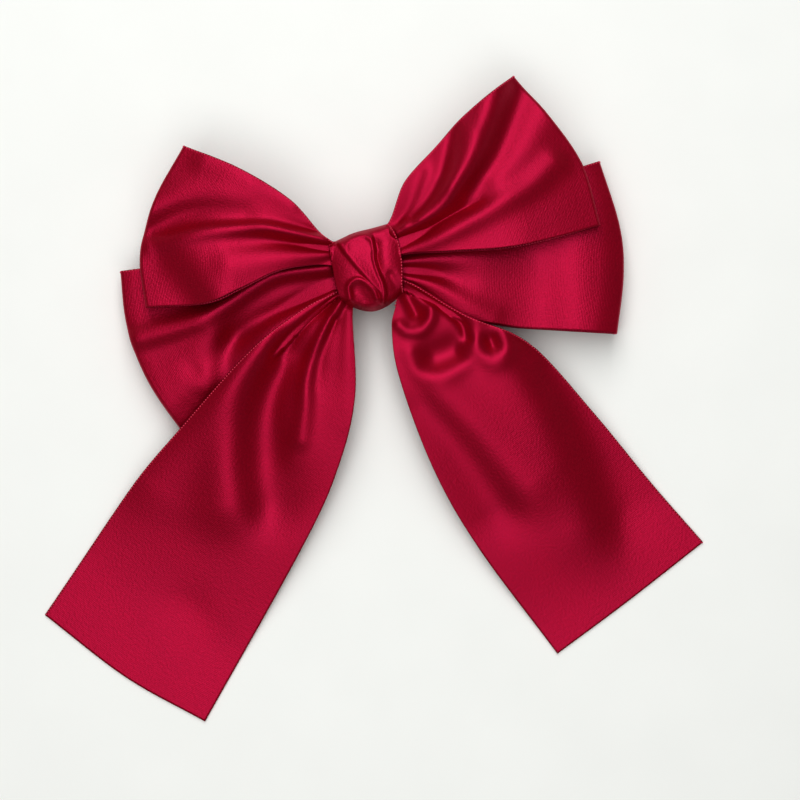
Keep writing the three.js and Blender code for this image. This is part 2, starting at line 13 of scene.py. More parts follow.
import bmesh
import bpy
import numpy as np
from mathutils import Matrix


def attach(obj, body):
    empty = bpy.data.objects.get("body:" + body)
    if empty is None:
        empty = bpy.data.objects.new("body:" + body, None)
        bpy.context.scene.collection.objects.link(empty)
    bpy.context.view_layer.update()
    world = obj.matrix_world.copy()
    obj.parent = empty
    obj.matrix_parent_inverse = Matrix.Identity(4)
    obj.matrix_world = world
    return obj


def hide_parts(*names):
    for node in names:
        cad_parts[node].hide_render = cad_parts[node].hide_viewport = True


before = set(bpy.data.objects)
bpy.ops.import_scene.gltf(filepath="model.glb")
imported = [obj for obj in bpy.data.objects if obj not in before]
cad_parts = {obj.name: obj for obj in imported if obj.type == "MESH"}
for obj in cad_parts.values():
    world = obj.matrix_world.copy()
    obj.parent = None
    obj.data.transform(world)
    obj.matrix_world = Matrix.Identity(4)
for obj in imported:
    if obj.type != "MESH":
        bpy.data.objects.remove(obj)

log = logging.getLogger("hair_bow")

MM = 0.001
CLOTH_GAUGE = 0.34  # thickness of the satin
LAYER_GAP = 0.62  # from one layer's middle to the next one's, where they touch
RIBBON_WIDTH = 63.0
PLATE_SAMPLES = 9  # along each side of a face of the clip's plate
PICOT_PITCH = 1.0
PICOT_HALF_LENGTH = 0.36
PICOT_REACH = 0.24  # how far its tip stands past its middle
PICOT_THICK = 0.3  # half its height, and how far its root reaches back
PICOT_FACES = ((0, 4, 2), (0, 2, 5), (0, 5, 3), (0, 3, 4), (1, 2, 4), (1, 5, 2), (1, 3, 5), (1, 4, 3))
PICOT_INSET = 0.3  # from the ribbon's edge back to a picot's middle
PICOT_LIFT = 0.14
CORNERS = ((0, 0), (1, 0), (1, 1), (0, 1))  # steps across and along round one face of a grid
SLOPE_FADE = 2.2  # how many half widths a slope reaches to either side
SLOPE_END_FADE = 1.5  # and past its ends
STEP_FALL = 0.22  # how abruptly a step falls
SHARP_TIP = 0.3  # how round a sharp fold's ridge is
FOLD_POINTS = 26  # along a fold's line
PLEAT_FREE = 11.0  # from here outwards pleats lose their height
PLEAT_FADE = (0.5, 0.9)  # the share of a loop's length over which pleats die out

Point = tuple[float, float]
Path = tuple[Point, ...]
Material = bpy.types.Material
Object = bpy.types.Object
Socket = bpy.types.NodeSocket
Satin = tuple[Material, Material]  # the cloth's and its edges'


# ---- Curves and surfaces ----


def smooth_path(points: Path, count: int) -> np.ndarray:
    """Lays a smooth curve through plan points, evenly spaced by length.

    Args:
        points: the points that the curve passes, in millimetres.
        count: how many points to return.

    Returns:
        An array of count rows of x and y.
    """
    p = np.array(points, float)
    if len(p) > 2:
        ends = np.vstack([2 * p[0] - p[1], p, 2 * p[-1] - p[-2]])
        t = np.linspace(0, 1, 17)[:-1, None]
        spans = [
            0.5 * (2 * b + (c - a) * t + (2 * a - 5 * b + 4 * c - d) * t**2 + (3 * b - a - 3 * c + d) * t**3)
            for a, b, c, d in zip(ends, ends[1:], ends[2:], ends[3:])
        ]
        p = np.vstack([*spans, p[-1:]])
    run = np.concatenate([[0], np.cumsum(np.linalg.norm(np.diff(p, axis=0), axis=1))])
    at = np.linspace(0, run[-1], count)
    return np.column_stack([np.interp(at, run, p[:, k]) for k in range(p.shape[1])])


def smooth_step(value: np.ndarray, low: float, high: float) -> np.ndarray:
    """Rises smoothly from 0 at low to 1 at high."""
    t = np.clip((value - low) / (high - low), 0, 1)
    return t * t * (3 - 2 * t)


def patch(start: np.ndarray, end: np.ndarray, first: np.ndarray, last: np.ndarray) -> np.ndarray:
    """Fills the plan between four edge curves.

    Args:
        start: the edge at the gathered side, one row for each column of cloth.
        end: the edge opposite it.
        first: the edge that joins the first points of start and end.
        last: the edge that joins their last points.

    Returns:
        A grid of plan points, across the cloth and then along it.
    """
    u = np.linspace(0, 1, len(start))[:, None, None]
    v = np.linspace(0, 1, len(first))[None, :, None]
    along = (1 - v) * start[:, None] + v * end[:, None]
    across = (1 - u) * first[None] + u * last[None]
    corners = (1 - u) * ((1 - v) * first[0] + v * first[-1]) + u * ((1 - v) * last[0] + v * last[-1])
    return along + across - corners


def profile(distance: np.ndarray, knots: Path, ease: float = 5.0) -> np.ndarray:
    """Reads a height from a line through (distance, height) knots, rounded over ease either way."""
    xs, ys = zip(*knots)
    spread = np.linspace(-ease, ease, 15)
    return np.mean([np.interp(distance + d, xs, ys) for d in spread], axis=0)


class FoldKind(Enum):
    """How a fold's section is shaped."""

    ROUND = "round"
    SHARP = "sharp"
    STEP = "step"
    SLOPE = "slope"


@dataclass(frozen=True)
class Fold:
    """A fold laid along a line in plan.

    Args:
        path: the line it follows, in millimetres.
        height: how far it lifts the cloth at the line's start and at its end; below 0 it sinks.
        width: its half width at the start and at the end.
        kind: the shape of its section.
    """

    path: Path
    height: Point
    width: Point
    kind: FoldKind = FoldKind.ROUND

    def lift(self, plan: np.ndarray) -> np.ndarray:
        """Works out what the fold adds to a cloth's height.

        Args:
            plan: a grid of plan points.

        Returns:
            A grid of heights to add.
        """
        line = smooth_path(self.path, FOLD_POINTS)
        best = np.full(plan.shape[:2], 1e9)
        share = np.zeros(plan.shape[:2])
        signed = np.zeros(plan.shape[:2])
        for k, (a, b) in enumerate(zip(line, line[1:])):
            run = b - a
            off = plan - a
            t = np.clip(off @ run / (run @ run), 0, 1)
            gap = off - t[..., None] * run
            distance = np.hypot(gap[..., 0], gap[..., 1])
            nearer = distance < best
            best = np.where(nearer, distance, best)
            share = np.where(nearer, (k + t) / (len(line) - 1), share)
            signed = np.where(nearer, (run[0] * off[..., 1] - run[1] * off[..., 0]) / np.hypot(*run), signed)
        high = self.height[0] + (self.height[1] - self.height[0]) * share
        wide = self.width[0] + (self.width[1] - self.width[0]) * share
        beyond = np.sqrt(np.maximum(best**2 - signed**2, 0))
        if self.kind is FoldKind.SHARP:
            return high * np.exp(-(np.sqrt(best**2 + SHARP_TIP**2) - SHARP_TIP) / wide)
        if self.kind is FoldKind.STEP:
            fall = 1 / (1 + np.exp(-np.clip(signed / STEP_FALL, -40, 40)))
            return high * fall * np.exp(-np.maximum(signed, 0) / wide) * np.exp(-((beyond / wide) ** 2))
        if self.kind is FoldKind.SLOPE:
            fade = np.exp(-((signed / (SLOPE_FADE * wide)) ** 2) - (beyond / (SLOPE_END_FADE * wide)) ** 2)
            return high * np.tanh(signed / wide) * fade
        return high * np.exp(-((best / wide) ** 2))


def pleats(plan: np.ndarray, count: int, depth: float, reach: float) -> np.ndarray:
    """Gathers a cloth into even pleats that open out away from the knot.

    Args:
        plan: a grid of plan points, across the cloth and then along it.
        count: how many pleats lie across it.
        depth: their height where they leave the knot.
        reach: how far out they have lost two thirds of it.

    Returns:
        A grid of heights to add.
    """
    across = np.linspace(0, 1, plan.shape[0])[:, None]
    wander = 0.12 * np.sin(7.1 * across + 1.3)
    wave = np.sin(2 * math.pi * count * (across + 0.05 * wander))
    distance = np.hypot(plan[..., 0], plan[..., 1])
    opened = 1 - smooth_step(np.linspace(0, 1, plan.shape[1])[None, :], *PLEAT_FADE)
    return depth * wave * opened * np.exp(-np.maximum(distance - PLEAT_FREE, 0) / reach)


def folded(plan: np.ndarray, folds: tuple[Fold, ...]) -> np.ndarray:
    """Adds up what several folds do to a grid of plan points."""
    return sum((f.lift(plan) for f in folds), np.zeros(plan.shape[:2]))


class Support:
    """The highest cloth or metal laid so far at each place of the plan."""

    low = np.array([-142.0, -154.0])  # the plan's corner
    cell = 0.5
    cells = (500, 450)  # along x and y
    widening = 2  # passes that spread what is below, so that its edges are cleared
    softening = 10  # passes that smooth it, so that a cloth bridges it gently
    blend = 0.7  # the height over which a cloth eases onto what is below
    nearest = 0.8  # the least gap, as a share of the usual one

    def __init__(self) -> None:
        """Starts with the bare floor."""
        self.top = np.zeros(self.cells)

    def add(self, grid: np.ndarray) -> None:
        """Records a laid surface.

        Args:
            grid: its points, across and along, as x, y and height.
        """
        fine = grid
        for axis in (0, 1):
            n = fine.shape[axis]
            at = np.linspace(0, n - 1, 3 * n - 2)
            k = np.minimum(at.astype(int), n - 2)
            t = (at - k).reshape([-1 if a == axis else 1 for a in range(3)])
            fine = np.take(fine, k, axis) * (1 - t) + np.take(fine, k + 1, axis) * t
        ij = np.round((fine[..., :2] - self.low) / self.cell).astype(int)
        np.maximum.at(self.top, (ij[..., 0], ij[..., 1]), fine[..., 2])

    def _read(self, heights: np.ndarray, plan: np.ndarray) -> np.ndarray:
        """Reads a height map between its cells."""
        at = (plan - self.low) / self.cell
        k = np.floor(at).astype(int)
        t = at - k
        i, j = k[..., 0], k[..., 1]
        near = heights[i, j] * (1 - t[..., 0]) + heights[i + 1, j] * t[..., 0]
        far = heights[i, j + 1] * (1 - t[..., 0]) + heights[i + 1, j + 1] * t[..., 0]
        return near * (1 - t[..., 1]) + far * t[..., 1]

    def drape(self, plan: np.ndarray, height: np.ndarray, gap: float = LAYER_GAP) -> np.ndarray:
        """Lifts a cloth to lie on what is below it.

        Args:
            plan: the cloth's plan points.
            height: the heights that it would have by itself.
            gap: the distance kept to what is below.

        Returns:
            Heights that clear everything recorded so far.
        """
        wide = self.top.copy()
        for _ in range(self.widening):
            wide = np.max([np.roll(wide, s, a) for s in (-1, 0, 1) for a in (0, 1)], axis=0)
        soft = wide.copy()
        for _ in range(self.softening):
            for a in (0, 1):
                soft = (np.roll(soft, 1, a) + soft + np.roll(soft, -1, a)) / 3
        rest = self._read(soft, plan) + gap
        t = np.clip(0.5 + 0.5 * (height - rest) / self.blend, 0, 1)
        eased = rest * (1 - t) + height * t + self.blend * t * (1 - t)
        return np.maximum(eased, self._read(wide, plan) + self.nearest * gap)


# ---- Meshes ----


def mesh_object(name: str, points: np.ndarray, faces: list, smooth: bool = True) -> Object:
    """Makes an object from points in millimetres.

    Args:
        name: the piece's name.
        points: rows of x, y and z.
        faces: lists of point numbers.
        smooth: whether the faces are shaded smooth.

    Returns:
        The new object, at the origin.
    """
    mesh = bpy.data.meshes.new(name)
    mesh.from_pydata((points * MM).tolist(), [], faces)
    mesh.polygons.foreach_set("use_smooth", [smooth] * len(mesh.polygons))
    made = bpy.data.objects.new(name, mesh)
    bpy.context.scene.collection.objects.link(made)
    return made


def cloth_object(name: str, grid: np.ndarray, width: float, ring: bool = False) -> Object:
    """Makes a sheet of satin from a grid, with its weave laid along it.

    Args:
        name: the piece's name.
        grid: points across and along the cloth.
        width: the ribbon's width, in millimetres.
        ring: whether the cloth's two ends meet.

    Returns:
        The sheet, with its thickness as a live modifier.
    """
    rows, columns = grid.shape[:2]
    last = columns if ring else columns - 1
    faces = [
        tuple((i + a) * columns + (j + b) % columns for a, b in CORNERS)
        for i in range(rows - 1)
        for j in range(last)
    ]
    sheet = mesh_object(name, grid.reshape(-1, 3), faces)
    steps = np.linalg.norm(np.diff(grid, axis=1, append=grid[:, :1]), axis=2).mean(axis=0)
    run = np.concatenate([[0], np.cumsum(steps)])
    weave = sheet.data.uv_layers.new(name="weave")
    across = np.linspace(0, width, rows)
    uv = np.array([
        (across[i + a], run[j + b])
        for i in range(rows - 1)
        for j in range(last)
        for a, b in CORNERS
    ])
    weave.data.foreach_set("uv", uv.ravel())
    thickness = sheet.modifiers.new("gauge", "SOLIDIFY")
    thickness.thickness = CLOTH_GAUGE * MM
    thickness.offset = 0
    log.info("%s: %.0f mm along the cloth", name, run[last])
    return sheet


def picots(name: str, grid: np.ndarray, edges: tuple[int, ...] = (0, -1)) -> Object:
    """Makes the small woven loops that finish a ribbon's edges.

    Args:
        name: the piece's name.
        grid: the ribbon's points.
        edges: which rows of the grid are finished edges.

    Returns:
        One object that holds all the loops, a few faces each.
    """
    points, faces = [], []
    for edge in edges:
        line = grid[edge]
        inner = grid[1 if edge == 0 else -2]
        run = np.concatenate([[0], np.cumsum(np.linalg.norm(np.diff(line, axis=0), axis=1))])
        at = np.arange(PICOT_PITCH / 2, run[-1], PICOT_PITCH)
        place = np.column_stack([np.interp(at, run, line[:, k]) for k in range(3)])
        beside = np.column_stack([np.interp(at, run, inner[:, k]) for k in range(3)])
        along = np.gradient(place, axis=0)
        along /= np.linalg.norm(along, axis=1)[:, None]
        out = place - beside
        out -= (out * along).sum(1)[:, None] * along
        out /= np.maximum(np.linalg.norm(out, axis=1), 1e-6)[:, None]
        up = np.cross(along, out)
        for p, a, o, n in zip(place - PICOT_INSET * out + PICOT_LIFT * up, along, out, up):
            k = len(points)
            points += [p - PICOT_HALF_LENGTH * a, p + PICOT_HALF_LENGTH * a]
            points += [p + PICOT_REACH * o, p - PICOT_THICK * o, p + PICOT_THICK * n, p - PICOT_THICK * n]
            faces += [(k + e, k + f, k + g) for e, f, g in PICOT_FACES]
    made = mesh_object(name, np.array(points), faces, smooth=False)
    tidy = bmesh.new()
    tidy.from_mesh(made.data)
    bmesh.ops.recalc_face_normals(tidy, faces=tidy.faces)
    tidy.to_mesh(made.data)
    tidy.free()
    return made


# ---- Finishes ----


def colour(red: int, green: int, blue: int) -> tuple[float, float, float, float]:
    """Turns a screen colour of 0 to 255 into the linear one that shaders use."""
    shares = (red / 255, green / 255, blue / 255)
    linear = [c / 12.92 if c <= 0.04045 else ((c + 0.055) / 1.055) ** 2.4 for c in shares]
    return (*linear, 1.0)


class Graph:
    """A shader node tree, with short ways to add its nodes and join them."""

    def __init__(self, tree: bpy.types.NodeTree) -> None:
        """Takes up a tree."""
        self.nodes, self.links = tree.nodes, tree.links

    def add(self, kind: str, inputs: dict | None = None, **settings: object) -> bpy.types.Node:
        """Adds a node.

        Args:
            kind: the node's type, without its first word.
            inputs: each input's name or number, with its value or the socket that feeds it.
            settings: the node's own settings.

        Returns:
            The node.
        """
        node = self.nodes.new("ShaderNode" + kind)
        for label, value in settings.items():
            setattr(node, label, value)
        self.feed(node, inputs or {})
        return node

    def feed(self, node: bpy.types.Node, inputs: dict) -> None:
        """Gives a node's inputs their values, or the sockets that feed them."""
        for label, value in inputs.items():
            if isinstance(value, Socket):
                self.links.new(value, node.inputs[label])
            else:
                node.inputs[label].default_value = value


def new_material(name: str) -> tuple[Material, Graph, bpy.types.Node]:
    """Starts a material, and returns it with its graph and its surface node."""
    made = bpy.data.materials.new(name)
    made.use_nodes = True
    return made, Graph(made.node_tree), made.node_tree.nodes["Principled BSDF"]


class SatinWeave:
    """The fine weave and slow colour drift that all the satin shares."""

    inputs = {"Rib": 0.55, "Deep": colour(150, 0, 22), "Light": colour(176, 4, 34), "Rough": 0.4}
    outputs = {"Colour": "NodeSocketColor", "Roughness": "NodeSocketFloat", "Height": "NodeSocketFloat"}
    float_height = 0.35  # the lengthwise threads' height, as a share of the ribs'
    thread_scale = 1.1
    thread_height = 12.0  # how far single threads stand out, in ribs
    thread_tone = 0.65  # the share of the colour that follows single threads
    thread_rough = 0.08
    drift_scale = 0.05

    def __init__(self) -> None:
        """Builds the group once."""
        self.group = bpy.data.node_groups.new("satin_weave", "ShaderNodeTree")
        for label, value in self.inputs.items():
            kind = "NodeSocketColor" if isinstance(value, tuple) else "NodeSocketFloat"
            self.group.interface.new_socket(label, in_out="INPUT", socket_type=kind).default_value = value
        for label, kind in self.outputs.items():
            self.group.interface.new_socket(label, in_out="OUTPUT", socket_type=kind)
        graph = Graph(self.group)
        enter = graph.nodes.new("NodeGroupInput").outputs
        place = graph.add("UVMap", uv_map="weave").outputs["UV"]
        apart = graph.add("SeparateXYZ", {0: place}).outputs
        ribs = self._wave(graph, apart["Y"], enter["Rib"])
        floats = self._wave(graph, apart["X"], enter["Rib"])
        height = graph.add("Math", {0: floats, 1: self.float_height, 2: ribs}, operation="MULTIPLY_ADD")
        thread = self._noise(graph, place, self.thread_scale, 2)
        uneven = graph.add(
            "Math", {0: thread, 1: self.thread_height, 2: height.outputs[0]}, operation="MULTIPLY_ADD"
        )
        drift = self._noise(graph, place, self.drift_scale, 4)
        both = graph.add("Mix", {"Factor": self.thread_tone, "A": drift, "B": thread}, data_type="FLOAT")
        tone = graph.add(
            "Mix",
            {"Factor": both.outputs["Result"], "A": enter["Deep"], "B": enter["Light"]},
            data_type="RGBA",
        )
        rough = graph.add(
            "Math", {0: thread, 1: self.thread_rough, 2: enter["Rough"]}, operation="MULTIPLY_ADD"
        )
        leave = {"Height": uneven.outputs[0], "Colour": tone.outputs["Result"], "Roughness": rough.outputs[0]}
        graph.feed(graph.nodes.new("NodeGroupOutput"), leave)

    @staticmethod
    def _noise(graph: Graph, place: Socket, scale: float, detail: int) -> Socket:
        """Makes a noise laid along the cloth."""
        return graph.add("TexNoise", {"Scale": scale, "Detail": detail, "Vector": place}).outputs["Fac"]

    @staticmethod
    def _wave(graph: Graph, along: Socket, pitch: Socket) -> Socket:
        """Makes a sine of one pitch along a coordinate."""
        turns = graph.add("Math", {0: along, 1: pitch}, operation="DIVIDE")
        angle = graph.add("Math", {0: turns.outputs[0], 1: 2 * math.pi}, operation="MULTIPLY")
        return graph.add("Math", {0: angle.outputs[0]}, operation="SINE").outputs[0]


@dataclass(frozen=True)
class SatinFinish:
    """Woven polyester satin.

    Args:
        name: the material's name.
        deep: the dye where the weave is dark.
        light: the dye where the weave is light.
        rough: the sheen's spread.
        lustre: how much of its light the thread mirrors in its own colour.
        rib: the weave's pitch, in millimetres.
        relief: how strongly the weave shows.
        depth: how deep the weave is, in millimetres.
        mirror: how strongly the thread's surface mirrors, as an index of refraction.
        mirrored: the colour of what it mirrors.
        fuzz: how much loose fibre scatters light at a flat angle.
        fuzz_rough: how widely it does.
        fuzz_tone: its colour.
    """

    name: str = "red_satin"
    deep: tuple = colour(124, 0, 8)
    light: tuple = colour(170, 0, 26)
    rough: float = 0.4
    lustre: float = 0.4
    rib: float = 0.55
    relief: float = 0.22
    depth: float = 0.05
    mirror: float = 1.85
    mirrored: tuple = colour(255, 78, 160)
    fuzz: float = 0.03
    fuzz_rough: float = 0.4
    fuzz_tone: tuple = colour(255, 90, 120)

    def material(self, weave: SatinWeave) -> Material:
        """Builds the material around the shared weave."""
        made, graph, shader = new_material(self.name)
        cloth = graph.add("Group", node_tree=weave.group)
        graph.feed(cloth, {"Rib": self.rib, "Deep": self.deep, "Light": self.light, "Rough": self.rough})
        relief = {"Strength": self.relief, "Distance": self.depth * MM, "Height": cloth.outputs["Height"]}
        graph.feed(shader, {
            "Base Color": cloth.outputs["Colour"],
            "Roughness": cloth.outputs["Roughness"],
            "Normal": graph.add("Bump", relief).outputs["Normal"],
            "Metallic": self.lustre,
            "IOR": self.mirror,
            "Specular IOR Level": 1.0,
            "Specular Tint": self.mirrored,
            "Sheen Weight": self.fuzz,
            "Sheen Roughness": self.fuzz_rough,
            "Sheen Tint": self.fuzz_tone,
        })
        return made


@dataclass(frozen=True)
class NickelFinish:
    """Bright nickel on pressed steel, a little rubbed.

    Args:
        name: the material's name.
        tone: the metal's colour.
        rubbed: its colour along the lines where it is rubbed.
        lines: how fine the rubbed lines are along and across the clip, per metre.
        smears: how fine the dull smears are, per metre.
        rough: the least and the most roughness.
        relief: how strongly the lines show.
        depth: how deep they are, in millimetres.
    """

    name: str = "nickel_plate"
    tone: tuple = colour(205, 203, 198)
    rubbed: tuple = colour(160, 156, 150)
    lines: tuple = (120, 2500, 2500)
    smears: float = 220
    rough: Point = (0.16, 0.42)
    relief: float = 0.08
    depth: float = 0.02

    def material(self) -> Material:
        """Builds the material from two noises on the piece's own place."""
        made, graph, shader = new_material(self.name)
        place = graph.add("TexCoord").outputs["Object"]
        drawn = graph.add("Mapping", {"Scale": self.lines, "Vector": place}).outputs["Vector"]
        lines = graph.add("TexNoise", {"Scale": 1.0, "Detail": 3, "Vector": drawn}).outputs["Fac"]
        smears = graph.add("TexNoise", {"Scale": self.smears, "Vector": place}).outputs["Fac"]
        rough = graph.add("MapRange", {"To Min": self.rough[0], "To Max": self.rough[1], "Value": smears})
        tone = graph.add("Mix", data_type="RGBA")
        graph.feed(tone, {"A": self.rubbed, "B": self.tone, "Factor": lines})
        relief = graph.add("Bump", {"Strength": self.relief, "Distance": self.depth * MM, "Height": lines})
        graph.feed(shader, {
            "Metallic": 1.0,
            "Roughness": rough.outputs["Result"],
            "Base Color": tone.outputs["Result"],
            "Normal": relief.outputs["Normal"],
        })
        return made


@dataclass(frozen=True)
class PlainFinish:
    """Thread, glue and the floor: one tone with a fine noise over it.

    Args:
        name: the material's name.
        tone: its colour.
        other: the colour that the noise mixes in.
        rough: its roughness.
        grain: the noise's scale, per metre.
        relief: how far the noise lifts the surface, in millimetres.
        see_through: how much light passes, for glue.
    """

    name: str
    tone: tuple
    other: tuple
    rough: float
    grain: float
    relief: float = 0.0
    see_through: float = 0.0

    def material(self) -> Material:
        """Builds the material from one noise on the piece's own place."""
        made, graph, shader = new_material(self.name)
        place = graph.add("TexCoord").outputs["Object"]
        noise = graph.add("TexNoise", {"Scale": self.grain, "Vector": place}).outputs["Fac"]
        tone = graph.add("Mix", {"A": self.tone, "B": self.other, "Factor": noise}, data_type="RGBA")
        graph.feed(shader, {
            "Roughness": self.rough,
            "Transmission Weight": self.see_through,
            "Base Color": tone.outputs["Result"],
        })
        if self.relief:
            bump = graph.add("Bump", {"Distance": self.relief * MM, "Height": noise})
            graph.feed(shader, {"Normal": bump.outputs["Normal"]})
        return made


# Pale pink, far lighter than the cloth and matte: a painted highlight for the glint that the small edge loops
# catch.
PICOT_THREAD_PAINTED_GLINT = SatinFinish(
    name="picot_thread_painted_glint",
    deep=colour(214, 40, 70),
    light=colour(246, 112, 138),
    rough=0.6,
    lustre=0.0,
    rib=0.25,
    relief=0.05,
)
BINDING_THREAD = PlainFinish(
    name="binding_thread",
    tone=colour(150, 8, 26),
    other=colour(120, 2, 16),
    rough=0.6,
    grain=900,
    relief=0.05,
)
HOT_GLUE = PlainFinish(
    name="hot_glue",
    tone=colour(232, 226, 206),
    other=colour(214, 206, 184),
    rough=0.25,
    grain=200,
    relief=0.1,
    see_through=0.4,
)
PALE_FLOOR = PlainFinish(
    name="pale_floor",
    tone=colour(243, 244, 241),
    other=colour(238, 239, 236),
    rough=0.6,
    grain=30,
)


# ---- The ribbons ----


def lay_cloth(name: str, grid: np.ndarray, node: str, flat: Point, held: str, satin: Satin) -> Object:
    """Makes a sheet and its picot edges, gives them their finishes, ties them to the bow and hides the
    frame's node.

    Args:
        name: the piece's name.
        grid: points across and along the cloth.
        node: the frame's node that the cloth stands for.
        flat: the width and length it was cut to, in millimetres.
        held: how it is held.
        satin: the materials of the cloth and of its edges.

    Returns:
        The sheet.
    """
    sheet = cloth_object(name, grid, flat[0], ring=held == "folded")
    trim = picots(name + "_picots", grid)
    for piece, finish in zip((sheet, trim), satin):
        piece.data.materials.append(finish)
        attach(piece, "bow")
    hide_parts(node)
    log.info("%s: %d points, %d picot faces", name, len(sheet.data.vertices), len(trim.data.polygons))
    return sheet


@dataclass(frozen=True)
class HalfShape:
    """The outline and folds of one loop or one tail.

    Args:
        top: one edge, from the knot to the end.
        end: the turned or cut end, from the top edge to the bottom edge.
        bottom: the other edge, from the knot to the end.
        folds: the folds of the layer that shows.
    """

    top: Path
    end: Path
    bottom: Path
    folds: tuple[Fold, ...]


@dataclass(kw_only=True)
class Ribbon:
    """A ribbon gathered at its middle, inside the knot.

    Args:
        name: the piece's name.
        node: the frame's node that it stands for.
        gathered: the y of its two edges at the middle.
        left: its left half.
        right: its right half.
        flat: the width and length that it was cut to.
        rows: how many points lie across it.
        steps: how many lie along the layer that shows of each half.
        hidden: from here inwards it lies flat inside the knot.
        bare: from here outwards its folds have their full height.
    """

    name: str
    node: str
    gathered: Point
    left: HalfShape
    right: HalfShape
    flat: Point
    rows: int = 84
    steps: int = 150
    hidden: float = 6.0
    bare: float = 12.5

    def _start(self) -> np.ndarray:
        """Lays the line across the ribbon at its middle."""
        return np.column_stack([np.zeros(self.rows), np.linspace(*self.gathered, self.rows)])

    def _half(self, shape: HalfShape, support: Support) -> np.ndarray:
        """Lays one half. Each kind of ribbon does it in its own way."""
        raise NotImplementedError

    def build(self, support: Support, satin: Satin) -> Object:
        """Makes the ribbon and its picot edges, and ties them to the frame."""
        halves = [self._half(shape, support) for shape in (self.left, self.right)]
        for half in halves:
            support.add(half[:, : self.steps])
        grid = np.concatenate([halves[0][:, :0:-1], halves[1]], axis=1)
        return lay_cloth(self.name, grid, self.node, self.flat, "gathered", satin)


@dataclass(kw_only=True)
class LoopPair(Ribbon):
    """A ribbon turned into a left and a right loop.

    Args:
        under: the lower layers' height at each distance from the knot.
        upper: the upper layers' height at each distance from the knot.
        opening: the least height between a loop's two layers.
        under_steps: how many points lie along an under layer.
        turn_steps: how many lie round the turned end.
        turn_reach: how far the turned end stands out past the layers.
        pleat_count: how many pleats the hidden under layer has.
        pleat_depth: their height where they leave the knot.
        pleat_reach: how far out they have lost two thirds of it.
    """

    under: Path
    upper: Path
    opening: float = 1.6
    under_steps: int = 90
    turn_steps: int = 10
    turn_reach: float = 1.1
    pleat_count: int = 8
    pleat_depth: float = 2.6
    pleat_reach: float = 45.0

    def _plan(self, shape: HalfShape, steps: int) -> tuple[np.ndarray, np.ndarray]:
        """Lays one layer's plan.

        Args:
            shape: the loop.
            steps: how many columns of cloth the layer has.

        Returns:
            The plan grid, and at the fold the way out for each row.
        """
        fold = smooth_path(shape.end, self.rows)
        start = self._start()
        out = fold - start.mean(axis=0)
        out /= np.linalg.norm(out, axis=1)[:, None]
        fold = fold - self.turn_reach * out
        first = smooth_path(((0, self.gathered[0]), *shape.top[:-1], tuple(fold[0])), steps)
        last = smooth_path(((0, self.gathered[1]), *shape.bottom[:-1], tuple(fold[-1])), steps)
        return patch(start, fold, first, last), out

    def _height(self, plan: np.ndarray, level: Path, folds: tuple[Fold, ...]) -> np.ndarray:
        """Works out a layer's own height, before it is draped."""
        distance = np.hypot(plan[..., 0], plan[..., 1])
        shown = smooth_step(np.abs(plan[..., 0]), self.hidden, self.bare)
        return profile(distance, level) + shown * folded(plan, folds)

    def _half(self, shape: HalfShape, support: Support) -> np.ndarray:
        """Lays one side's under layer and its upper layer, and joins them at the fold."""
        low_plan, _ = self._plan(shape, self.under_steps)
        shown = smooth_step(np.abs(low_plan[..., 0]), self.hidden, self.bare)
        crimp = shown * pleats(low_plan, self.pleat_count, self.pleat_depth, self.pleat_reach)
        low = support.drape(low_plan, self._height(low_plan, self.under, ()) + crimp)
        support.add(np.dstack([low_plan, low]))
        high_plan, out = self._plan(shape, self.steps)
        high = self._height(high_plan, self.upper, shape.folds)
        clear = self.opening * smooth_step(np.abs(high_plan[..., 0]), self.bare, 3 * self.bare)
        high = support.drape(high_plan, high - clear) + clear
        turn = np.linspace(math.pi / 2, -math.pi / 2, self.turn_steps + 2)[1:-1]
        middle, half = (high[:, -1] + low[:, -1]) / 2, (high[:, -1] - low[:, -1]) / 2
        round_end = np.dstack([
            high_plan[:, -1, None, k] + self.turn_reach * out[:, k, None] * np.cos(turn) for k in range(2)
        ])
        round_end = np.dstack([round_end, middle[:, None] + half[:, None] * np.sin(turn)])
        upper = np.dstack([high_plan, high])
        under = np.dstack([low_plan, low])[:, :0:-1]
        return np.concatenate([upper, round_end, under], axis=1)


